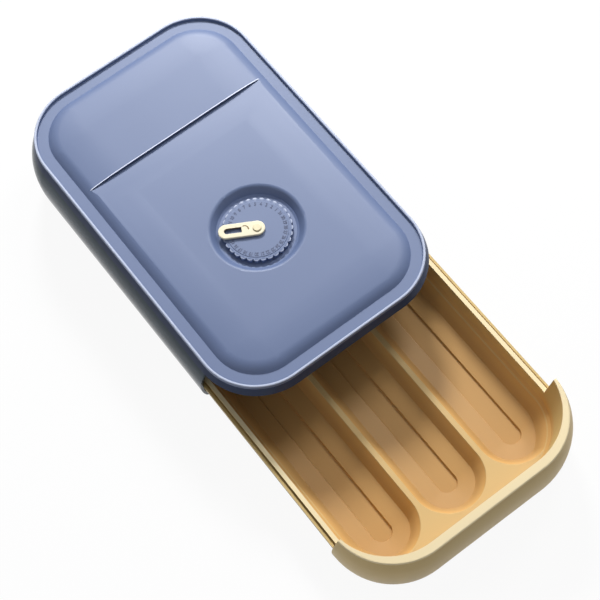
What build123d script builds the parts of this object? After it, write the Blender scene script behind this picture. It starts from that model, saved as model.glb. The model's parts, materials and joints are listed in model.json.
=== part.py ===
from build123d import *
import os
from math import radians, sqrt, tan

# Drawer-type egg keeper: a barrel-sided case with a cover and a date dial, and a sliding drawer with lanes.
# Millimetres, +Z up. Origin: middle of the base, on the surface that it stands on. The drawer opens towards -Y.

# Cover, driving dimensions
cover_width = 200
cover_length = 320
corner_radius = 50
cover_top = 72
skirt_height = 4
cover_wall = 2
lip_width = 2
lip_height = 2.7
lip_slope = 0.5
lip_chamfer = 0.5
plug_depth = 6
plug_gap = 0.3
panel_margin = 11.5
panel_edge_width = 10
crown_height = 3.5
crown_drop = 1.5
edge_slope = 24

# Facet and step across the panel
facet_start = 41
step_place = 67
step_depth = 2.6

# Dial recess
dial_place = -43
recess_radius = 37.5
recess_floor_radius = 32
recess_depth = 7
recess_rim_round = 4
recess_floor_chamfer = 1.2

# Date disc
disc_radius = 28.1
disc_height = 3.8
disc_wall = 1.6
lobe_count = 31
lobe_radius = 2.7
lobe_depth = 1.5
hub_radius = 6

# Pointer and pin
pointer_length = 37
pointer_width = 12.5
pointer_height = 2.1
pointer_angle = 150
pointer_chamfer = 0.4
window_length = 13.6
window_width = 4.6
window_margin = 4.8
pin_radius = 2.5
pin_head_radius = 3.6
pin_head_height = 0.9
pin_barb = 0.7
pin_barb_height = 2
boss_radius = 5
boss_height = 1.5
turn_gap = 0.08
stack_gap = 0.3

# Case
case_wall = 2.2
neck_overhang = 0.4
waist_height = 38
waist_bulge = 7.4
belly_radius = 96
foot_radius = 13
header_height = 6.8
parting_place = -113.5
parting_lean = 8
floor_tongue_margin = 14
floor_tongue_front = -147
floor_tongue_radius = 36

# Drawer
drawer_wall = 1.8
drawer_gap = 0.4
slide_gap = 0.3
parting_gap = 0.5
drawer_out = 165
front_band = 7
front_lift = 1
front_round = 1.2
front_wall = 2.2
front_slot = 4.2
wing_tip = 1.4
inner_draft = 9
side_height = 34.4
rim_width = 3.4
groove_width = 1.4
runner_height = 3.9
runner_drop = 2
groove_depth = 4.1
lane_pitch = 63.2
lane_count = 3
ridge_height = 19.7
ridge_top = 4
ridge_foot = 19.7
wall_bend = 23.4
ledge_height = 8.2
ledge_low = 6.5
channel_half = 8.5
channel_draft = 0.7
lane_end_margin = 4.6

# Sizes that follow
core_x = cover_width / 2 - corner_radius
core_y = cover_length / 2 - corner_radius
neck_z = cover_top - skirt_height
neck_d = corner_radius - neck_overhang
waist_d = neck_d + waist_bulge
shoulder_radius = ((neck_z - waist_height) ** 2 + waist_bulge**2) / (2 * waist_bulge)
ledge_z = cover_top - lip_height
crown_z = cover_top + crown_height
recess_z = crown_z - recess_depth
boss_z = recess_z - cover_wall - boss_height
disc_z = recess_z + stack_gap
pointer_z = disc_z + disc_height + stack_gap
head_z = pointer_z + pointer_height + turn_gap
header_low = neck_z - header_height
front_top = header_low - parting_gap
drawer_z = case_wall + slide_gap
channel_z = drawer_z + drawer_wall
draft = tan(radians(inner_draft))
lane_half = lane_pitch / 2


def bulge(z, inset=0):
    """Distance outside the core rectangle at which the barrel wall lies at a height."""
    arc = shoulder_radius if z > waist_height else belly_radius
    return waist_d - arc + sqrt((arc - inset) ** 2 - (z - waist_height) ** 2)


plug_d = bulge(neck_z, case_wall) - plug_gap
front_d = bulge(front_top)
cavity_d = front_d - wing_tip
cavity_front = -(core_y + front_d - front_band - cavity_d)


def cavity_at(z):
    """Distance outside its own core at which the drawer's drafted inner face lies at a height."""
    return cavity_d - (front_top - z) * draft


runner_z = side_height - runner_drop
runner_low = runner_z - runner_height
runner_d = bulge(runner_low, case_wall + drawer_gap)
rim_d = cavity_at(side_height) + rim_width
lane_foot = lane_half - ridge_foot / 2
lane_rim = lane_half - ridge_top / 2
outer_lane = (lane_count - 1) * lane_half
foot_d = outer_lane + lane_foot - core_x
bend_d = cavity_at(wall_bend)
plateau_d = foot_d + (bend_d - foot_d) * (ridge_height - ledge_height) / (wall_bend - ledge_height)
lane_front = cavity_front - plateau_d + lane_end_margin + lane_rim
lane_back = core_y + plateau_d - lane_end_margin - lane_rim


def polygon(points):
    """A face drawn in a section: first value outwards, second value up."""
    return make_face(Polyline(*points, close=True))


def around(profile, front=-core_y, back=core_y, filled=True):
    """Carry a section round a rectangle, with a quarter turn at each corner."""
    corners = [(core_x, front), (core_x, back), (-core_x, back), (-core_x, front)]
    outward = [(1, 0), (0, 1), (-1, 0), (0, -1)]
    lengths = [back - front, 2 * core_x, back - front, 2 * core_x]
    solids = []
    for side in range(4):
        x, y = corners[(side + 1) % 4]
        out_x, out_y = outward[side]
        plane = Plane(origin=(x, y, 0), x_dir=(out_x, out_y, 0), z_dir=(out_y, -out_x, 0))
        solids.append(extrude(plane * profile, amount=lengths[side]))
        solids.append(revolve(plane * profile, axis=Axis((x, y, 0), (0, 0, 1)), revolution_arc=90))
    if filled:
        box = profile.bounding_box()
        middle = Pos(0, (front + back) / 2, box.min.Y) * Rectangle(2 * core_x, back - front)
        solids.append(extrude(middle, amount=box.max.Y - box.min.Y))
    return solids[0].fuse(*solids[1:]).clean()


def across(points, width):
    """Carry a side-view outline (y, z) across the whole width."""
    return extrude(Plane.YZ * polygon(points), amount=width / 2, both=True)


def turned(points, place=dial_place):
    """Turn an outline (radius, z) about the dial's axis."""
    section = Plane.XZ.offset(-place) * polygon(points)
    return revolve(section, axis=Axis((0, place, 0), (0, 0, 1)))


def barrel_section(bottom, top, inset=0, top_round=0):
    """Half section of the barrel from the core outwards, with its foot rounded."""
    high = (bulge(top, inset), top)
    waist = (waist_d - inset, waist_height)
    low = (bulge(bottom, inset), bottom)
    upper_z = (top + waist_height) / 2
    lower_z = (bottom + waist_height) / 2
    outline = [
        Line((0, bottom), (0, top)),
        Line((0, top), high),
        ThreePointArc(high, (bulge(upper_z, inset), upper_z), waist),
        ThreePointArc(waist, (bulge(lower_z, inset), lower_z), low),
        Line(low, (0, bottom)),
    ]
    section = make_face(outline)
    corner = section.vertices().sort_by_distance((low[0], low[1], 0))[0]
    section = fillet(corner, foot_radius - inset)
    if top_round:
        corner = section.vertices().sort_by_distance((high[0], high[1], 0))[0]
        section = fillet(corner, top_round)
    return section


def ahead(shift):
    """Everything in front of the leaning plane where the case's side walls meet the drawer's wings."""
    far = 3 * cover_length
    lean = tan(radians(parting_lean))
    low = -cover_top
    high = 2 * cover_top
    return across(
        [
            (-far, low),
            (parting_place + (front_top - low) * lean - shift, low),
            (parting_place + (front_top - high) * lean - shift, high),
            (-far, high),
        ],
        far,
    )


def panel_line(drop):
    """Outline of the crowned panel, its rim and its edge, lowered by a wall thickness."""
    crown = (0, crown_z - drop)
    shoulder = (corner_radius - panel_margin - panel_edge_width, crown_z - crown_drop - drop)
    edge = (corner_radius - panel_margin - drop * tan(radians(edge_slope)), ledge_z - drop)
    first = TangentArc(crown, shoulder, tangent=(1, 0))
    second = TangentArc(shoulder, edge, tangent=first % 1)
    return crown, edge, [first, second]


def cover_outside():
    """Crowned panel, flat rim and raised lip, with the plug that fits inside the case's wall."""
    crown, edge, arcs = panel_line(0)
    low = neck_z - plug_depth
    rim = [
        edge,
        (corner_radius - lip_width - lip_slope, ledge_z),
        (corner_radius - lip_width, cover_top),
        (corner_radius, cover_top),
        (corner_radius, neck_z),
        (plug_d, neck_z),
        (plug_d, low),
        (0, low),
        crown,
    ]
    section = make_face(arcs + [Polyline(*rim)])
    for point in (rim[2], rim[3]):
        corner = section.vertices().sort_by_distance((point[0], point[1], 0))[0]
        section = chamfer(corner, lip_chamfer)
    return around(section)


def cover_inside():
    crown, edge, arcs = panel_line(cover_wall)
    low = neck_z - plug_depth - cover_wall
    rim = [
        edge,
        (plug_d - cover_wall, ledge_z - cover_wall),
        (plug_d - cover_wall, low),
        (0, low),
        crown,
    ]
    return around(make_face(arcs + [Polyline(*rim)]))


def facet(drop):
    """The wedge that the facet takes out of the panel, lowered and lengthened by a wall thickness."""
    return across(
        [
            (facet_start, crown_z - drop),
            (step_place + drop, crown_z - step_depth - drop),
            (step_place + drop, crown_z + cover_wall),
            (facet_start, crown_z + cover_wall),
        ],
        cover_width,
    )


def recess(wall):
    """The dial's round recess, or the cup around it when a wall thickness is given."""
    high = crown_z + cover_wall
    low = recess_z - wall
    rim = recess_radius + wall
    floor = recess_floor_radius + wall
    section = polygon(
        [
            (0, low),
            (floor, low),
            (rim, crown_z),
            (rim + recess_rim_round, crown_z),
            (rim + recess_rim_round, high),
            (0, high),
        ]
    )
    corner = section.vertices().sort_by_distance((floor, low, 0))[0]
    section = chamfer(corner, recess_floor_chamfer)
    corner = section.vertices().sort_by_distance((rim, crown_z, 0))[0]
    section = chamfer(corner, recess_rim_round / 2) if wall else fillet(corner, recess_rim_round)
    placed = Plane.XZ.offset(-dial_place) * section
    return revolve(placed, axis=Axis((0, dial_place, 0), (0, 0, 1)))


def make_top_cover():
    hollow = cover_inside() - facet(cover_wall) - recess(cover_wall)
    boss = Pos(0, dial_place, boss_z) * extrude(Circle(boss_radius), boss_height + cover_wall / 2)
    cover = cover_outside() - facet(0) - recess(0) - hollow + boss
    bore = Pos(0, dial_place, boss_z) * extrude(Circle(pin_radius), crown_z)
    return cover - bore


def make_case():
    """One shell: floor, walls and back, and the header bar that carries the wall across above the drawer."""
    outer = around(barrel_section(0, neck_z))
    inner = around(barrel_section(case_wall, neck_z + 1, case_wall))
    below = Pos(0, 0, header_low - cover_top) * Box(2 * cover_width, 3 * cover_length, 2 * cover_top)
    mouth = ahead(0) & below
    return outer - inner - mouth + floor_tongue()


def floor_plan(extra, back):
    """Outline of the floor in front of the side walls, which stays inside the drawer's front."""
    half = cover_width / 2 - floor_tongue_margin + extra
    front = floor_tongue_front - extra
    length = back - front
    plan = Pos(0, (front + back) / 2) * Rectangle(2 * half, length)
    corners = plan.vertices().group_by(Axis.Y)[0]
    return fillet(corners, floor_tongue_radius)


def floor_tongue():
    back = parting_place + (front_top + cover_top) * tan(radians(parting_lean))
    return extrude(floor_plan(0, back), case_wall)


def drawer_outside():
    """Tray with its rolled rim and runner, and the tall front that carries on the case's barrel."""
    tray = around(
        polygon(
            [
                (0, drawer_z),
                (foot_d + drawer_wall, drawer_z),
                (foot_d + drawer_wall, ledge_height - drawer_wall / 2),
                (bend_d + drawer_wall, wall_bend - drawer_wall / 2),
                (cavity_at(runner_low) + drawer_wall, runner_low),
                (runner_d, runner_low),
                (runner_d, runner_z),
                (rim_d + groove_width, runner_z),
                (rim_d + groove_width, side_height - groove_depth),
                (rim_d, side_height - groove_depth),
                (rim_d, side_height),
                (0, side_height),
            ]
        )
    )
    front = around(barrel_section(0, front_top, top_round=front_round)) & ahead(parting_gap)
    front -= Pos(0, 0, front_lift - cover_top / 2) * Box(2 * cover_width, 2 * cover_length, cover_top)
    return tray + front


def front_hollow():
    """Space between the front's outer skin and its inner face, open downwards through a slot."""
    skin = around(barrel_section(front_wall, front_top - front_wall, front_wall))
    slot_d = waist_d - foot_radius + front_slot
    low = -foot_radius
    high = foot_radius / 2
    slot = around(polygon([(0, low), (slot_d, low), (slot_d, high), (0, high)]))
    block = around(
        polygon(
            [
                (0, low),
                (cavity_at(low) + front_wall, low),
                (cavity_at(front_top) + front_wall, front_top),
                (0, front_top),
            ]
        ),
        front=cavity_front,
    )
    return (skin + slot - block) & ahead(parting_gap + front_wall)


def drawer_cavity():
    """The open inside above the dividers' tops: one drafted face all round, bent inwards at its foot."""
    high = front_top + 1
    outline = [
        (0, ridge_height),
        (plateau_d, ridge_height),
        (bend_d, wall_bend),
        (cavity_at(high), high),
        (0, high),
    ]
    return around(polygon(outline), front=cavity_front)


def lane_section(grown=0):
    """Half section of one lane: channel, sloped ledge and flank, grown by a wall for its underside."""
    floor = channel_half - channel_draft
    section = polygon(
        [
            (-lane_foot, channel_z),
            (floor, channel_z),
            (channel_half, ledge_low),
            (lane_foot, ledge_height),
            (lane_rim, ridge_height),
            (-lane_foot, ridge_height),
        ]
    )
    if grown:
        section = offset(section, grown, kind=Kind.INTERSECTION)
    return section & Pos(cover_width / 2, 0) * Rectangle(cover_width, 2 * ridge_height)


def lane(x, section):
    """Carry a half section along one lane and turn it round both its ends."""
    right = Plane(origin=(x, lane_back, 0), x_dir=(1, 0, 0), z_dir=(0, -1, 0))
    left = Plane(origin=(x, lane_front, 0), x_dir=(-1, 0, 0), z_dir=(0, 1, 0))
    solids = []
    for plane in (right, left):
        solids.append(extrude(plane * section, amount=lane_back - lane_front))
        solids.append(revolve(plane * section, axis=Axis(plane.origin, (0, 0, 1)), revolution_arc=180))
    return solids[0].fuse(*solids[1:]).clean()


def lane_limit():
    """The space between the walls' sloped feet, so that the outer lanes end in the tray's rounded corners."""
    return around(
        polygon(
            [
                (0, channel_z),
                (foot_d, channel_z),
                (foot_d, ledge_height),
                (bend_d, wall_bend),
                (0, wall_bend),
            ]
        ),
        front=cavity_front,
    )


def underside():
    """Space below the dividers and behind the front, inside the tray's foot."""
    low = -drawer_z
    high = ridge_height - drawer_wall
    tray = around(polygon([(0, low), (foot_d, low), (foot_d, high), (0, high)]), front=-2 * core_y)
    outline = [(0, low), (cavity_at(low), low), (cavity_at(high), high), (0, high)]
    front = around(polygon(outline), front=cavity_front)
    return tray & front


def make_drawer():
    places = [(number - (lane_count - 1) / 2) * lane_pitch for number in range(lane_count)]
    limit = lane_limit()
    lanes = [lane(x, lane_section()) & limit for x in places]
    below = underside() - [lane(x, lane_section(drawer_wall)) for x in places]
    drawer = drawer_outside() - drawer_cavity() - front_hollow() - lanes - below
    slot = extrude(floor_plan(parting_gap, 2 * core_y), drawer_z)
    return Pos(0, -drawer_out, 0) * (drawer - slot)


def make_date_disc():
    ring = disc_radius - lobe_radius
    outline = Circle(disc_radius - lobe_depth) + PolarLocations(ring, lobe_count) * Circle(lobe_radius)
    disc = extrude(outline, disc_height)
    pocket = Circle(disc_radius - lobe_depth - disc_wall) - Circle(hub_radius)
    disc -= extrude(pocket, disc_height - disc_wall)
    disc -= extrude(Circle(pin_radius + turn_gap), disc_height)
    return Pos(0, dial_place, disc_z) * disc


def make_date_pointer():
    """Arm with round ends and a window that is round towards its tip and square towards the pin."""
    reach = pointer_length / 2 - pointer_width / 2
    outline = Pos(reach, 0) * SlotOverall(pointer_length, pointer_width)
    window_end = pointer_length - pointer_width / 2 - window_margin - window_width / 2
    straight = window_length - window_width / 2
    window = Pos(window_end - straight / 2, 0) * Rectangle(straight, window_width)
    window += Pos(window_end, 0) * Circle(window_width / 2)
    arm = extrude(outline, pointer_height)
    arm = chamfer(arm.edges().group_by(Axis.Z)[-1], pointer_chamfer)
    arm -= extrude(window, pointer_height)
    arm -= extrude(Circle(pin_radius + turn_gap), pointer_height)
    return Pos(0, dial_place, pointer_z) * Rot(0, 0, pointer_angle) * arm


def make_pivot_pin():
    return turned(
        [
            (0, boss_z - pin_barb_height),
            (pin_radius - pin_barb, boss_z - pin_barb_height),
            (pin_radius + pin_barb, boss_z),
            (pin_radius, boss_z),
            (pin_radius, head_z),
            (pin_head_radius, head_z),
            (pin_head_radius - pin_head_height / 2, head_z + pin_head_height),
            (0, head_z + pin_head_height),
        ]
    )


pieces = {
    "case": make_case(),
    "top_cover": make_top_cover(),
    "drawer": make_drawer(),
    "date_disc": make_date_disc(),
    "date_pointer": make_date_pointer(),
    "pivot_pin": make_pivot_pin(),
}

os.makedirs("parts", exist_ok=True)
for name, piece in pieces.items():
    export_step(piece, f"parts/{name}.step")
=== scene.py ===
import json
import math

import bmesh
import bpy
from mathutils import Matrix, Vector

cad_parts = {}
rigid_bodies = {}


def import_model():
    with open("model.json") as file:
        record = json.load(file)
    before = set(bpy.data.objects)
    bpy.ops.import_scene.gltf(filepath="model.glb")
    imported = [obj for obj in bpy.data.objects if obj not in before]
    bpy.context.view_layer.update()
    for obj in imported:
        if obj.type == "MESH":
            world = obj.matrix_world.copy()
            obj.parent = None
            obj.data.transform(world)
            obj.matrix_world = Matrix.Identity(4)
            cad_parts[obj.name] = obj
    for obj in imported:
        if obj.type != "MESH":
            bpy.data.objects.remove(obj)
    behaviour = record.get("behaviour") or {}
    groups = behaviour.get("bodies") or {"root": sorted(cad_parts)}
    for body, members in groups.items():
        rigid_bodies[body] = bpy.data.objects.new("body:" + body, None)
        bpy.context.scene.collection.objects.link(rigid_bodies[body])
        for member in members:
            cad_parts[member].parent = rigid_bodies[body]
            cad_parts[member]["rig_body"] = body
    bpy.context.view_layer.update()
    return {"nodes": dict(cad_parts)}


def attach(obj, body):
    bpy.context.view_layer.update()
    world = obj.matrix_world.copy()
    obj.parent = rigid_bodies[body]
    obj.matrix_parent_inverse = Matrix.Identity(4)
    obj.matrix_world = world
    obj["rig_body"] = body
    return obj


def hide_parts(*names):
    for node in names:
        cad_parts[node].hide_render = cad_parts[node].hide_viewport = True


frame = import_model()
mm = 0.001
nodes = frame["nodes"]

# Where the dial's pin stands, in metres, and which way its pointer lies at rest, in degrees
pinPlace = (0, -0.043, 0)
pointerAngle = 150

# Camera of the photograph, worked out from the cover's outline: place and target in metres, roll in degrees
view = {
    "place": (-0.3021, -0.6084, 1.2557),
    "target": (0.0198, -0.0605, -0.0525),
    "roll": -7.3,
    "lens": 103.5,
    "sensor": 36.0,
}


def addObject(name, data):
    made = bpy.data.objects.new(name, data)
    bpy.context.scene.collection.objects.link(made)
    return made


# Placing of a camera or lamp that looks from its place at a target
def aimed(place, target):
    place = Vector(place)
    turn = (Vector(target) - place).to_track_quat("-Z", "Y")
    return Matrix.Translation(place) @ turn.to_matrix().to_4x4()


def makeCamera():
    data = bpy.data.cameras.new("photoCamera")
    data.lens = view["lens"]
    data.sensor_width = view["sensor"]
    camera = addObject("photoCamera", data)
    roll = Matrix.Rotation(math.radians(view["roll"]), 4, "Z")
    camera.matrix_world = aimed(view["place"], view["target"]) @ roll
    bpy.context.scene.camera = camera


makeCamera()
print("camera stands")


# Node helpers: an input that is a socket is linked, and any other value is set
def addNode(tree, kind, inputs=None, **settings):
    node = tree.nodes.new(kind)
    for key, value in settings.items():
        setattr(node, key, value)
    for key, value in (inputs or {}).items():
        if isinstance(value, bpy.types.NodeSocket):
            tree.links.new(value, node.inputs[key])
        else:
            node.inputs[key].default_value = value
    return node


def maths(tree, operation, *values):
    return addNode(tree, "ShaderNodeMath", dict(enumerate(values)), operation=operation).outputs[0]


def times(tree, first, second):
    return maths(tree, "MULTIPLY", first, second)


def vectorMaths(tree, operation, *values):
    return addNode(tree, "ShaderNodeVectorMath", dict(enumerate(values)), operation=operation).outputs


def along(tree, place, axis):
    return addNode(tree, "ShaderNodeSeparateXYZ", {0: place}).outputs[axis]


def spread(tree, value, low, high):
    return addNode(tree, "ShaderNodeMapRange", {"Value": value, "To Min": low, "To Max": high}).outputs[0]


# Smooth change from 0 at the first limit to 1 at the second, which may be the lower one
def ramp(tree, value, limits):
    falling = limits[0] > limits[1]
    inputs = {
        "Value": value,
        "From Min": min(limits),
        "From Max": max(limits),
        "To Min": 1.0 if falling else 0.0,
        "To Max": 0.0 if falling else 1.0,
    }
    return addNode(tree, "ShaderNodeMapRange", inputs, interpolation_type="SMOOTHSTEP").outputs[0]


# Sockets 6 and 7 are the Mix node's colours, and output 2 is their mixture
def blended(tree, share, first, second):
    return addNode(tree, "ShaderNodeMix", {0: share, 6: first, 7: second}, data_type="RGBA").outputs[2]


def mixedShader(tree, share, first, second):
    return addNode(tree, "ShaderNodeMixShader", {0: share, 1: first.outputs[0], 2: second.outputs[0]})


def newMaterial(name):
    material = bpy.data.materials.new(name)
    material.use_nodes = True
    tree = material.node_tree
    tree.nodes.clear()
    return material, tree


def closeMaterial(tree, shader):
    addNode(tree, "ShaderNodeOutputMaterial", {"Surface": shader.outputs[0]})


# Floor, lamps and world
studio = {
    "floorTone": (0.86, 0.86, 0.87, 1),
    "floorGlow": 0.93,
    "floorReach": 60.0,
    "worldTone": (0.95, 0.96, 1.0, 1),
    "worldLevel": 0.20,
    "white": (1, 1, 1, 1),
    "whiteLevel": 1.0,
    "lampTarget": (0, -0.08, 0.03),
    "lamps": {  # place, power, size
        "keyLamp": ((0.72, 1.19, 1.14), 36, 0.36),
        "sideLamp": ((1.16, 0.36, 1.36), 12, 0.60),
        "fillLamp": ((-1.30, -0.70, 1.10), 1.8, 1.20),
    },
}


# 1 where the camera sees a background itself, in gloss or through the smoky wall
def seenDirectly(tree):
    path = addNode(tree, "ShaderNodeLightPath").outputs
    seen = maths(tree, "MAXIMUM", path["Is Camera Ray"], path["Is Glossy Ray"])
    return maths(tree, "MAXIMUM", seen, path["Is Transmission Ray"])


def makeFloor():
    material, tree = newMaterial("paleFloor")
    plain = addNode(tree, "ShaderNodeBsdfDiffuse", {"Color": studio["floorTone"]})
    glow = addNode(tree, "ShaderNodeEmission", {"Color": studio["white"], "Strength": studio["whiteLevel"]})
    share = times(tree, seenDirectly(tree), studio["floorGlow"])
    closeMaterial(tree, mixedShader(tree, share, plain, glow))
    mesh = bpy.data.meshes.new("floor")
    reach = studio["floorReach"]
    corners = [(-reach, -reach, 0), (reach, -reach, 0), (reach, reach, 0), (-reach, reach, 0)]
    mesh.from_pydata(corners, [], [(0, 1, 2, 3)])
    mesh.materials.append(material)
    floor = addObject("floor", mesh)


def makeWorld():
    world = bpy.data.worlds.new("studio")
    bpy.context.scene.world = world
    world.use_nodes = True
    tree = world.node_tree
    tree.nodes.clear()
    softInputs = {"Color": studio["worldTone"], "Strength": studio["worldLevel"]}
    whiteInputs = {"Color": studio["white"], "Strength": studio["whiteLevel"]}
    soft = addNode(tree, "ShaderNodeBackground", softInputs)
    white = addNode(tree, "ShaderNodeBackground", whiteInputs)
    mix = mixedShader(tree, seenDirectly(tree), soft, white)
    addNode(tree, "ShaderNodeOutputWorld", {"Surface": mix.outputs[0]})


def makeLamp(name, place, power, size):
    data = bpy.data.lights.new(name, "AREA")
    data.energy = power
    data.size = size
    lamp = addObject(name, data)
    lamp.matrix_world = aimed(place, studio["lampTarget"])


bpy.context.scene.view_settings.view_transform = "Standard"
makeFloor()
makeWorld()
for lampName, (place, power, size) in studio["lamps"].items():
    makeLamp(lampName, place, power, size)
print("studio is lit")

# Tones of the plastics, and after them the tones that are laid over some places as painted light, shade and
# see-through
tones = {
    "blue": (0.117, 0.162, 0.294, 1),
    "blueDeep": (0.106, 0.148, 0.275, 1),
    "cream": (0.65, 0.485, 0.215, 1),
    "creamDeep": (0.61, 0.445, 0.185, 1),
    # painted shade: the darker blue of the day numbers and of the step's foot
    "paintedShadeBlue": (0.060, 0.082, 0.165, 1),
    "paintedShadeBlueDeep": (0.050, 0.070, 0.145, 1),
    "pale": (0.83, 0.77, 0.57, 1),
    "paleDeep": (0.80, 0.73, 0.52, 1),
    "pin": (0.81, 0.73, 0.49, 1),
    "pinDeep": (0.77, 0.68, 0.44, 1),
    # painted shade: brown of the arrow's groove, the deeper one also on the walls of the pointer's window
    "paintedShadeBrown": (0.22, 0.14, 0.045, 1),
    "paintedShadeBrownDeep": (0.17, 0.10, 0.030, 1),
    "smoke": (0.050, 0.078, 0.101, 1),
    "smokeDeep": (0.043, 0.069, 0.091, 1),
    # painted see-through of the cover's blue plug behind the case wall
    "plug": (0.052, 0.072, 0.140, 1),
    # painted highlight on the cover's lip, the disc's tooth tips and the step's upper edge
    "paintedHighlight": (0.74, 0.80, 0.96, 1),
    # painted light on the drawer's rims
    "litRimTone": (0.92, 0.77, 0.48, 1),
    # painted light on the divider tops, then painted shade and bounce light deeper in the drawer
    "land": (0.68, 0.48, 0.22, 1),
    "warm": (0.66, 0.39, 0.14, 1),
    "deep": (0.50, 0.28, 0.10, 1),
}

# Each moulded plastic: its two tones, its roughness, the strength of its grain and its shine
plastics = {
    "matteBlue": {"tones": ("blue", "blueDeep"), "rough": 0.52, "grain": 0.10, "shine": 0.60},
    "discBlue": {"tones": ("blue", "blueDeep"), "rough": 0.52, "grain": 0.10, "shine": 0.60},
    "satinCream": {"tones": ("cream", "creamDeep"), "rough": 0.44, "grain": 0.04, "shine": 0.25},
    "numbersPaintedShade": {"tones": ("paintedShadeBlue", "paintedShadeBlueDeep"), "rough": 0.50, "grain": 0.04, "shine": 0.50},
    "palePointer": {"tones": ("pale", "paleDeep"), "rough": 0.40, "grain": 0.04, "shine": 0.50},
    "pinCream": {"tones": ("pin", "pinDeep"), "rough": 0.40, "grain": 0.04, "shine": 0.50},
    "paintedGrooveShade": {"tones": ("paintedShadeBrown", "paintedShadeBrownDeep"), "rough": 0.55, "grain": 0.04, "shine": 0.20},
}

# What they share: clouds between the two tones, and specks that roughen them
moulding = {
    "clouds": {"Scale": 18.0, "Detail": 3.0, "Roughness": 0.5},
    "specks": {"Scale": 1400.0, "Detail": 2.0, "Roughness": 0.6},
    "speckDepth": 0.0002,
    "unevenness": 0.04,
}


def objectPlace(tree):
    return addNode(tree, "ShaderNodeTexCoord").outputs["Object"]


def noise(tree, place, pattern):
    return addNode(tree, "ShaderNodeTexNoise", {"Vector": place, **pattern}).outputs["Fac"]


def grained(tree, specks, strength):
    inputs = {"Height": specks, "Strength": strength, "Distance": moulding["speckDepth"]}
    return addNode(tree, "ShaderNodeBump", inputs).outputs[0]


# A layer is a function that lays a tone over the plastic, and the places that it goes by
def mouldedPlastic(name, *layers):
    plastic = plastics[name]
    material, tree = newMaterial(name)
    place = objectPlace(tree)
    light, dark = plastic["tones"]
    tone = blended(tree, noise(tree, place, moulding["clouds"]), tones[light], tones[dark])
    for lay, where in layers:
        tone = lay(tree, place, tone, where)
    specks = noise(tree, place, moulding["specks"])
    low, high = plastic["rough"] - moulding["unevenness"], plastic["rough"] + moulding["unevenness"]
    inputs = {
        "Base Color": tone,
        "Roughness": spread(tree, specks, low, high),
        "Normal": grained(tree, specks, plastic["grain"]),
        "Specular IOR Level": plastic["shine"],
    }
    closeMaterial(tree, addNode(tree, "ShaderNodeBsdfPrincipled", inputs))
    return material


# How far a point lies outside a core rectangle, as the barrel's own section is measured
def awayFromCore(tree, point, middle, core):
    moved = vectorMaths(tree, "SUBTRACT", point, middle)[0]
    folded = vectorMaths(tree, "ABSOLUTE", moved)[0]
    past = vectorMaths(tree, "SUBTRACT", folded, core)[0]
    past = vectorMaths(tree, "MAXIMUM", past, (0, 0, 0))[0]
    flat = vectorMaths(tree, "MULTIPLY", past, (1, 1, 0))[0]
    return vectorMaths(tree, "LENGTH", flat)["Value"]


# Painted shade and bounce light: deeper, warmer tone towards the bottom of the drawer, where its walls and
# lanes light each other, with a painted lighter tone on the level tops of the dividers
def warmed(tree, place, tone, where):
    away = awayFromCore(tree, place, where["middle"], where["core"])
    height = along(tree, place, "Z")
    leaned = maths(tree, "MULTIPLY_ADD", height, -where["draft"], away)
    share = times(tree, ramp(tree, leaned, where["wall"]), ramp(tree, height, where["height"]))
    share = times(tree, share, where["share"])
    inner = blended(tree, ramp(tree, height, where["lanes"]), tones["warm"], tones["deep"])
    level = times(tree, ramp(tree, height, where["landFoot"]), ramp(tree, height, where["landTop"]))
    inner = blended(tree, level, inner, tones["land"])
    return blended(tree, share, tone, inner)


# Painted light: paler tone on the drawer's level rims, the high one in front and the low ones behind its
# wings, whose tops catch the light
def crested(tree, place, tone, where):
    height = along(tree, place, "Z")
    behind = ramp(tree, along(tree, place, "Y"), where["behind"])
    sides = times(tree, ramp(tree, height, where["sideHeight"]), behind)
    share = maths(tree, "MAXIMUM", sides, ramp(tree, height, where["frontHeight"]))
    return blended(tree, share, tone, tones["litRimTone"])


# Painted highlight: paler tone on the cover's raised lip and on the disc's teeth, where their edges catch the
# light
def rubbed(tree, place, tone, where):
    away = awayFromCore(tree, place, where["middle"], where["core"])
    height = along(tree, place, "Z")
    share = times(tree, ramp(tree, away, where["away"]), ramp(tree, height, where["height"]))
    return blended(tree, times(tree, share, where["share"]), tone, tones["paintedHighlight"])


# Painted shade at the foot of the step across the cover, and a painted highlight on its upper edge
def creased(tree, place, tone, where):
    depth = along(tree, place, "Y")
    above = ramp(tree, along(tree, place, "Z"), where["height"])
    for start, end, laid in (("foot", "brow", "paintedShadeBlue"), ("brow", "back", "paintedHighlight")):
        band = times(tree, ramp(tree, depth, where[start]), ramp(tree, depth, where[end][::-1]))
        tone = blended(tree, times(tree, band, above), tone, tones[laid])
    return tone


# Painted shade: brown tone on the inner walls of the pointer's window, found in the pointer's own direction
def shaded(tree, place, tone, where):
    inputs = {"Vector": place, "Center": pinPlace, "Angle": -math.radians(pointerAngle)}
    turned = addNode(tree, "ShaderNodeVectorRotate", inputs, rotation_type="Z_AXIS").outputs[0]
    away = awayFromCore(tree, turned, where["middle"], where["core"])
    height = along(tree, place, "Z")
    share = times(tree, ramp(tree, away, where["away"]), ramp(tree, height, where["height"]))
    return blended(tree, share, tone, tones["paintedShadeBrownDeep"])


# Places of these layers, in metres: each pair is where a change starts and where it ends
# where the painted highlight lies on the cover's raised lip
lip = {
    "middle": (0, 0, 0),
    "core": (0.050, 0.110, 1),
    "away": (0.0474, 0.0478),
    "height": (0.0712, 0.0717),
    "share": 0.5,
}
# where the painted shade and the painted highlight of the step lie
step = {
    "height": (0.0727, 0.0730),
    "foot": (0.0662, 0.0666),
    "brow": (0.0671, 0.0673),
    "back": (0.0676, 0.0681),
}
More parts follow.
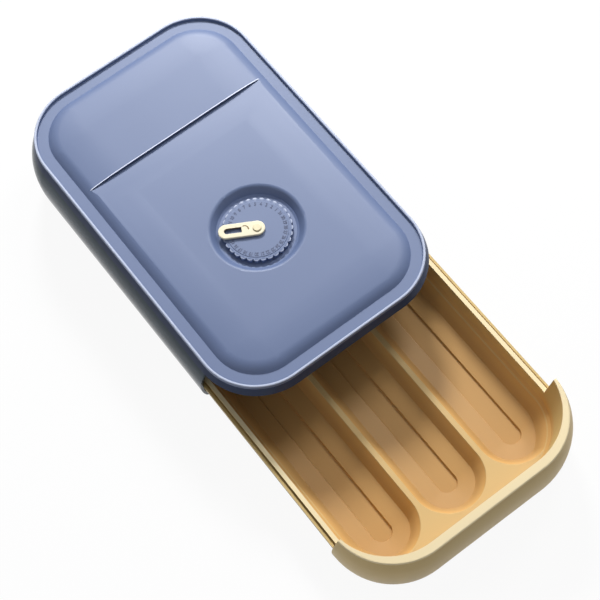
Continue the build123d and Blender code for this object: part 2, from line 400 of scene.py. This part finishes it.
# where the painted shade and bounce light lie in the drawer's hollow
hollow = {
    "middle": (0, -0.165, 0),
    "core": (0.050, 0.110, 1),
    "draft": 0.158,
    "wall": (0.0423, 0.0415),
    "height": (0.036, 0.024),
    "lanes": (0.0190, 0.010),
    "landFoot": (0.0189, 0.0192),
    "landTop": (0.0206, 0.0201),
    "share": 0.9,
}
# where the painted light lies on the drawer's rims
rims = {
    "sideHeight": (0.0337, 0.0340),
    "behind": (-0.2755, -0.2750),
    "frontHeight": (0.0594, 0.0600),
}
# where the painted highlight lies on the tips of the disc's teeth
tips = {
    "middle": pinPlace,
    "core": (0, 0, 1),
    "away": (0.0266, 0.0274),
    "height": (0.0718, 0.0721),
    "share": 0.35,
}
# where the painted shade lies on the walls of the pointer's window
window = {
    "middle": (0.018, -0.043, 0),
    "core": (0.00565, 0, 1),
    "away": (0.00255, 0.00240),
    "height": (0.0748, 0.0745),
}
blue = mouldedPlastic("matteBlue", (rubbed, lip), (creased, step))
cream = mouldedPlastic("satinCream", (warmed, hollow), (crested, rims))
discBlue = mouldedPlastic("discBlue", (rubbed, tips))
paintedShadeBlue = mouldedPlastic("numbersPaintedShade")
pale = mouldedPlastic("palePointer", (shaded, window))
pinCream = mouldedPlastic("pinCream")
paintedShadeBrown = mouldedPlastic("paintedGrooveShade")

# The smoky case: above plugHeight the blue of the cover's plug, seen through the wall in front of it, is
# painted into the wall's tone
smoky = {
    "clouds": {"Scale": 9.0, "Detail": 2.0},
    "specks": {"Scale": 900.0, "Detail": 2.0},
    "grain": 0.05,
    "rough": (0.14, 0.20),
    "clear": 0.12,
    "shine": 0.14,
    "bending": 1.3,
    "plugHeight": (0.0600, 0.0622),
}


def smokyPlastic(name):
    material, tree = newMaterial(name)
    place = objectPlace(tree)
    clouds = noise(tree, place, smoky["clouds"])
    specks = noise(tree, place, smoky["specks"])
    tone = blended(tree, clouds, tones["smoke"], tones["smokeDeep"])
    seenThroughShare = ramp(tree, along(tree, place, "Z"), smoky["plugHeight"])
    inputs = {
        "Base Color": blended(tree, seenThroughShare, tone, tones["plug"]),
        "Roughness": spread(tree, clouds, *smoky["rough"]),
        "Normal": grained(tree, specks, smoky["grain"]),
        "Transmission Weight": smoky["clear"],
        "Specular IOR Level": smoky["shine"],
        "IOR": smoky["bending"],
    }
    closeMaterial(tree, addNode(tree, "ShaderNodeBsdfPrincipled", inputs))
    return material


smoke = smokyPlastic("smokyShell")
print("materials are mixed")


# Plain mesh of what an object's modifiers make, in a new object
def settled(source, name, material=None):
    depsgraph = bpy.context.evaluated_depsgraph_get()
    mesh = bpy.data.meshes.new_from_object(source.evaluated_get(depsgraph), depsgraph=depsgraph)
    bpy.data.objects.remove(source)
    mesh.name = name
    if material:
        mesh.materials.clear()
        mesh.materials.append(material)
    return addObject(name, mesh)


# Shells in millimetres and degrees: how wide each one's edges are softened, and how a node's mesh is merged
softening = {
    "width": {"caseShell": 0.5, "coverShell": 0.35, "drawerTray": 0.45, "pointerArm": 0.25, "snapPin": 0.4},
    "edgeAngle": 17,
    "edgeSteps": 2,
    "shadeWeight": 60,
    "mergeDistance": 0.002,
    "flatAngle": 0.6,
}


def mergedCopy(node):
    mesh = nodes[node].data.copy()
    if "custom_normal" in mesh.attributes:
        mesh.attributes.remove(mesh.attributes["custom_normal"])
    flat = math.radians(softening["flatAngle"])
    work = bmesh.new()
    work.from_mesh(mesh)
    bmesh.ops.remove_doubles(work, verts=work.verts, dist=softening["mergeDistance"] * mm)
    bmesh.ops.dissolve_limit(work, angle_limit=flat, verts=work.verts, edges=work.edges)
    bmesh.ops.recalc_face_normals(work, faces=work.faces)
    for face in work.faces:
        face.smooth = True
    for edge in work.edges:
        edge.smooth = True
    work.to_mesh(mesh)
    work.free()
    return mesh


# A CAD node's shape with its edges softened
def softened(node, name, material):
    draft = addObject(name + "Draft", mergedCopy(node))
    bevel = draft.modifiers.new("edges", "BEVEL")
    bevel.width = softening["width"][name] * mm
    bevel.segments = softening["edgeSteps"]
    bevel.limit_method = "ANGLE"
    bevel.angle_limit = math.radians(softening["edgeAngle"])
    bevel.use_clamp_overlap = True
    shade = draft.modifiers.new("shade", "WEIGHTED_NORMAL")
    shade.mode = "FACE_AREA"
    shade.weight = softening["shadeWeight"]
    piece = settled(draft, name, material)
    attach(piece, nodes[node]["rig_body"])
    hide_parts(node)


softened("case", "caseShell", smoke)
softened("top_cover", "coverShell", blue)
softened("drawer", "drawerTray", cream)
softened("date_pointer", "pointerArm", pale)
softened("pivot_pin", "snapPin", pinCream)
print("shells are softened")

# Date disc in millimetres: a closed profile carried round the dial, its outermost points drawn in between
# the teeth
dial = {
    "bottom": 68.8,
    "top": 72.6,
    "teeth": 31,
    "stepsPerTooth": 12,
    "outerRadius": 28.1,
    "toothRadius": 2.7,
    "valleyRadius": 26.6,
    "boreRadius": 2.6,
    "plateauRadius": 24.7,
    "plateauStep": 0.35,
    "plateauSlope": 0.15,
    "wall": 1.6,
    "hubRadius": 6.0,
    "edge": 0.35,
    "edgeBelly": 0.3,
    "mergeDistance": 0.001,
    "smoothAngle": 25,  # degrees
}


def discProfile():
    low, high, edge = dial["bottom"], dial["top"], dial["edge"]
    rim, ceiling = high - dial["plateauStep"], high - dial["wall"]
    outer, bore, hub = dial["outerRadius"], dial["boreRadius"], dial["hubRadius"]
    plateau, slope = dial["plateauRadius"], dial["plateauSlope"]
    inner = dial["valleyRadius"] - dial["wall"]
    belly = dial["edgeBelly"] * edge
    return [
        (bore, low),
        (bore, high - edge),
        (bore + edge, high),
        (plateau - slope, high),
        (plateau + slope, rim),
        (outer - edge, rim),
        (outer - belly, rim - belly),
        (outer, rim - edge),
        (outer, low + edge),
        (outer - edge, low),
        (inner, low),
        (inner, ceiling),
        (hub, ceiling),
        (hub, low),
    ]


def discTree(profile, material):
    tree = bpy.data.node_groups.new("toothedDisc", "GeometryNodeTree")
    sockets = {}
    for label, kind in (
        ("Teeth", "NodeSocketInt"),
        ("Steps per tooth", "NodeSocketInt"),
        ("Outer radius", "NodeSocketFloat"),
        ("Tooth radius", "NodeSocketFloat"),
        ("Valley radius", "NodeSocketFloat"),
    ):
        sockets[label] = tree.interface.new_socket(label, in_out="INPUT", socket_type=kind)
    tree.interface.new_socket("Geometry", in_out="OUTPUT", socket_type="NodeSocketGeometry")
    given = tree.nodes.new("NodeGroupInput").outputs
    rows = len(profile) + 1  # the last row closes the profile

    def worked(operation, *values):
        return maths(tree, operation, *values)

    columns = worked("MULTIPLY", given["Teeth"], given["Steps per tooth"])
    size = {"Vertices X": worked("ADD", columns, 1), "Vertices Y": rows}
    grid = addNode(tree, "GeometryNodeMeshGrid", size).outputs[0]
    index = tree.nodes.new("GeometryNodeInputIndex").outputs[0]
    row = worked("FLOORED_MODULO", index, rows)
    column = worked("FLOOR", worked("DIVIDE", worked("ADD", index, 0.5), rows))  # half, against rounding down
    angle = worked("MULTIPLY", worked("DIVIDE", column, columns), math.tau)

    # the profile's value in this row
    def looked(values):
        table = tree.nodes.new("GeometryNodeIndexSwitch")
        table.data_type = "FLOAT"
        while len(table.index_switch_items) < rows:
            table.index_switch_items.new()
        tree.links.new(row, table.inputs[0])
        for count, value in enumerate([*values, values[0]]):
            table.inputs[count + 1].default_value = value * mm
        return table.outputs[0]

    radius = looked([point[0] for point in profile])
    height = looked([point[1] for point in profile])

    # distance of the toothed outline along this angle: a circle about the tooth's own centre, or the valley
    pitch = worked("DIVIDE", math.tau, given["Teeth"])
    half = worked("DIVIDE", pitch, 2)
    within = worked("SUBTRACT", worked("FLOORED_MODULO", worked("ADD", angle, half), pitch), half)
    ring = worked("SUBTRACT", given["Outer radius"], given["Tooth radius"])
    aside = worked("MULTIPLY", ring, worked("SINE", within))
    reach = worked("SUBTRACT", worked("POWER", given["Tooth radius"], 2), worked("POWER", aside, 2))
    bulge = worked("SQRT", worked("MAXIMUM", reach, 0))
    tooth = worked("ADD", worked("MULTIPLY", ring, worked("COSINE", within)), bulge)
    tooth = worked("MAXIMUM", tooth, given["Valley radius"])
    drawnIn = worked("SUBTRACT", given["Outer radius"], tooth)
    outside = worked("GREATER_THAN", radius, given["Valley radius"])
    radius = worked("SUBTRACT", radius, worked("MULTIPLY", drawnIn, outside))

    across = worked("ADD", worked("MULTIPLY", radius, worked("COSINE", angle)), pinPlace[0])
    back = worked("ADD", worked("MULTIPLY", radius, worked("SINE", angle)), pinPlace[1])
    place = addNode(tree, "ShaderNodeCombineXYZ", {0: across, 1: back, 2: height}).outputs[0]
    moved = addNode(tree, "GeometryNodeSetPosition", {"Geometry": grid, "Position": place}).outputs[0]
    seam = {"Geometry": moved, "Distance": dial["mergeDistance"] * mm}
    closed = addNode(tree, "GeometryNodeMergeByDistance", seam).outputs[0]
    real = addNode(tree, "GeometryNodeRealizeInstances", {"Geometry": closed}).outputs[0]
    dressed = addNode(tree, "GeometryNodeSetMaterial", {"Geometry": real, "Material": material}).outputs[0]
    addNode(tree, "NodeGroupOutput", {0: dressed})
    return tree, {label: socket.identifier for label, socket in sockets.items()}


# Faces turned outwards, and shading smooth over edges of less than this angle
def facedOut(mesh, degrees):
    work = bmesh.new()
    work.from_mesh(mesh)
    bmesh.ops.recalc_face_normals(work, faces=work.faces)
    for face in work.faces:
        face.smooth = True
    for edge in work.edges:
        edge.smooth = edge.calc_face_angle(0) < math.radians(degrees)
    work.to_mesh(mesh)
    work.free()


def makeDisc():
    draft = addObject("dayDiscDraft", bpy.data.meshes.new("dayDiscDraft"))
    tree, sockets = discTree(discProfile(), discBlue)
    ring = draft.modifiers.new("teeth", "NODES")
    ring.node_group = tree
    ring[sockets["Teeth"]] = dial["teeth"]
    ring[sockets["Steps per tooth"]] = dial["stepsPerTooth"]
    ring[sockets["Outer radius"]] = dial["outerRadius"] * mm
    ring[sockets["Tooth radius"]] = dial["toothRadius"] * mm
    ring[sockets["Valley radius"]] = dial["valleyRadius"] * mm
    disc = settled(draft, "dayDisc")
    facedOut(disc.data, dial["smoothAngle"])
    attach(disc, "date_disc")
    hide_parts("date_disc")


makeDisc()
print("disc is toothed")

# Raised numbers of the days in millimetres, their heads outwards, their darker blue a painted shade
numbers = {
    "radius": 20.9,
    "height": 3.0,
    "sizeByHeight": 1.35,  # text size for digits of height 1
    "relief": 0.2,
    "sink": 0.05,
    "boldness": 0.09,
    "spacing": 0.92,
    "narrowing": 0.86,
    "curveSteps": 3,
}


def makeNumber(day):
    words = bpy.data.curves.new(f"day{day}", "FONT")
    words.body = str(day)
    words.size = numbers["height"] * numbers["sizeByHeight"] * mm
    words.extrude = (numbers["relief"] + numbers["sink"]) / 2 * mm
    words.align_x = "CENTER"
    words.offset = numbers["boldness"] * mm
    words.space_character = numbers["spacing"]
    words.resolution_u = numbers["curveSteps"]
    part = settled(addObject(f"day{day}", words), f"dayPart{day}")
    angle = math.tau * day / dial["teeth"]
    turn = Matrix.Rotation(angle - math.pi / 2, 4, "Z")
    out = Vector((math.cos(angle), math.sin(angle), 0)) * numbers["radius"] * mm
    middle = dial["top"] + (numbers["relief"] - numbers["sink"]) / 2
    place = Vector((pinPlace[0], pinPlace[1], middle * mm))
    narrowed = Matrix.Diagonal((numbers["narrowing"], 1, 1, 1))
    part.data.transform(Matrix.Translation(place + out) @ turn @ narrowed)
    return part


def makeNumbers():
    parts = [makeNumber(day) for day in range(1, dial["teeth"] + 1)]
    work = bmesh.new()
    for part in parts:
        work.from_mesh(part.data)
        bpy.data.objects.remove(part)
    mesh = bpy.data.meshes.new("dayNumbers")
    work.to_mesh(mesh)
    work.free()
    mesh.materials.append(paintedShadeBlue)
    ring = addObject("dayNumbers", mesh)
    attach(ring, "date_disc")


makeNumbers()
print("days are numbered")

# Thin curved arrow on the pointer in millimetres and degrees, between its window and the pin, its brown the
# painted shade of a groove
arrow = {
    "away": 9.8,
    "radius": 3.0,
    "from": 8,
    "to": 118,
    "steps": 20,
    "width": 0.75,
    "relief": 0.06,
    "top": 75.0,
    "head": 1.3,
    "headSpread": 0.6,  # half its width by its length
}


# Outlines of the arrow's bent stem and of its head
def arrowShapes():
    start, end = math.radians(arrow["from"]), math.radians(arrow["to"])
    turns = [start + (end - start) * count / arrow["steps"] for count in range(arrow["steps"] + 1)]
    stem = []
    for side, order in ((1, turns), (-1, turns[::-1])):
        radius = arrow["radius"] + side * arrow["width"] / 2
        stem += [(-radius * math.cos(turn), -radius * math.sin(turn)) for turn in order]
    foot = Vector((-arrow["radius"] * math.cos(start), -arrow["radius"] * math.sin(start)))
    forward = Vector((-math.sin(start), math.cos(start)))
    across = Vector((-forward.y, forward.x)) * arrow["head"] * arrow["headSpread"]
    head = [tuple(foot + forward * arrow["head"]), tuple(foot + across), tuple(foot - across)]
    return stem, head


def makeArrow():
    work = bmesh.new()
    for shape in arrowShapes():
        corners = [work.verts.new((x, y, -arrow["relief"])) for x, y in shape]
        grown = bmesh.ops.extrude_face_region(work, geom=[work.faces.new(corners)])
        verts = [item for item in grown["geom"] if isinstance(item, bmesh.types.BMVert)]
        bmesh.ops.translate(work, verts=verts, vec=(0, 0, 2 * arrow["relief"]))
    bmesh.ops.recalc_face_normals(work, faces=work.faces)
    mesh = bpy.data.meshes.new("turnArrow")
    work.to_mesh(mesh)
    work.free()
    centre = Matrix.Translation((pinPlace[0], pinPlace[1], arrow["top"] * mm))
    turn = Matrix.Rotation(math.radians(pointerAngle), 4, "Z")
    out = Matrix.Translation((arrow["away"] * mm, 0, 0))
    mesh.transform(centre @ turn @ out @ Matrix.Scale(mm, 4))
    mesh.materials.append(paintedShadeBrown)
    piece = addObject("turnArrow", mesh)
    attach(piece, "date_pointer")


makeArrow()
print("arrow is cut")


def dress(node, material):
    mesh = nodes[node].data
    mesh.materials.clear()
    mesh.materials.append(material)


dress("case", smoke)
dress("top_cover", blue)
dress("drawer", cream)
dress("date_disc", blue)
dress("date_pointer", pale)
dress("pivot_pin", pinCream)
print("nodes are dressed")
